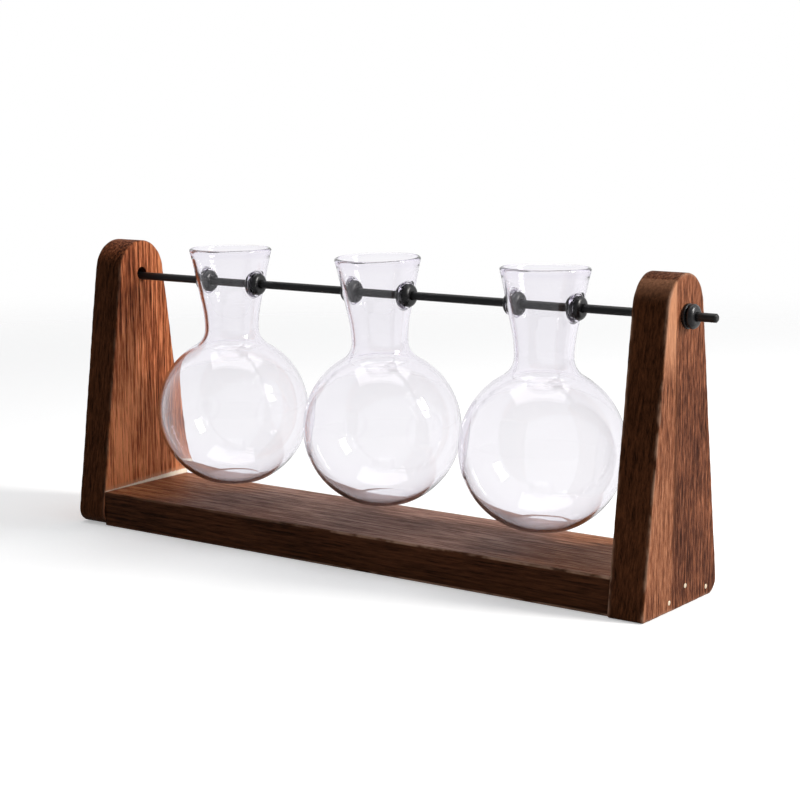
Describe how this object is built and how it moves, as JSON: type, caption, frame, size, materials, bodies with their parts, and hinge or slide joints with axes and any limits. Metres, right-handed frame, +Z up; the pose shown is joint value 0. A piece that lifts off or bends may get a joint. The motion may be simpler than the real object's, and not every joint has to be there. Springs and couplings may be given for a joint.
{
  "type": "propagation vase",
  "caption": "Clear glass bulb vases hung by rubber grommets on a black rod between charred wooden end panels on a base board.",
  "frame": {"origin": "on the surface that the stand rests on, half way between the end panels and between front and back", "axes": "+X along the rod to the right, +Y to the back, +Z up"},
  "size_m": [0.368, 0.0815, 0.149],
  "materials": {
    "charred_wood": "charred and brushed softwood with dark streaks and worn pale edges",
    "black_steel": "satin black rod",
    "black_rubber": "moulded black rubber with a soft gloss",
    "clear_glass": "thin clear blown glass with fire-polished rim and holes",
    "bright_steel": "small bright brad heads"
  },
  "bodies": {
    "stand": {"left_end_panel": "charred_wood", "right_end_panel": "charred_wood", "base_board": "charred_wood", "left_front_brad": "bright_steel", "left_middle_brad": "bright_steel", "left_back_brad": "bright_steel", "right_front_brad": "bright_steel", "right_middle_brad": "bright_steel", "right_back_brad": "bright_steel"},
    "rod": {"hanging_rod": "black_steel"},
    "left_stopper": {"left_rod_stopper": "black_rubber"},
    "right_stopper": {"right_rod_stopper": "black_rubber"},
    "left_grommets": {"left_vase_left_grommet": "black_rubber", "left_vase_right_grommet": "black_rubber"},
    "left_vase": {"left_glass_vase": "clear_glass"},
    "middle_grommets": {"middle_vase_left_grommet": "black_rubber", "middle_vase_right_grommet": "black_rubber"},
    "middle_vase": {"middle_glass_vase": "clear_glass"},
    "right_grommets": {"right_vase_left_grommet": "black_rubber", "right_vase_right_grommet": "black_rubber"},
    "right_vase": {"right_glass_vase": "clear_glass"}
  },
  "joints": [
    {"name": "rod_turn", "type": "hinge", "parent": "stand", "child": "rod", "pos_m": [0, 0, 0.1302], "axis": [1, 0, 0], "continuous": true},
    {"name": "left_stopper_pull", "type": "slide", "parent": "rod", "child": "left_stopper", "axis": [-1, 0, 0], "range_m": [0, 0.005]},
    {"name": "right_stopper_pull", "type": "slide", "parent": "rod", "child": "right_stopper", "axis": [1, 0, 0], "range_m": [0, 0.009]},
    {"name": "left_vase_slide", "type": "slide", "parent": "rod", "child": "left_grommets", "axis": [1, 0, 0], "range_m": [-0.0235, 0.0163]},
    {"name": "left_vase_swing", "type": "hinge", "parent": "left_grommets", "child": "left_vase", "pos_m": [-0.0902, 0, 0.1302], "axis": [1, 0, 0], "continuous": true},
    {"name": "middle_vase_slide", "type": "slide", "parent": "rod", "child": "middle_grommets", "axis": [1, 0, 0], "range_m": [-0.0163, 0.0163]},
    {"name": "middle_vase_swing", "type": "hinge", "parent": "middle_grommets", "child": "middle_vase", "pos_m": [0.0044, 0, 0.1302], "axis": [1, 0, 0], "continuous": true},
    {"name": "right_vase_slide", "type": "slide", "parent": "rod", "child": "right_grommets", "axis": [1, 0, 0], "range_m": [-0.0163, 0.0147]},
    {"name": "right_vase_swing", "type": "hinge", "parent": "right_grommets", "child": "right_vase", "pos_m": [0.099, 0, 0.1302], "axis": [1, 0, 0], "continuous": true}
  ]
}
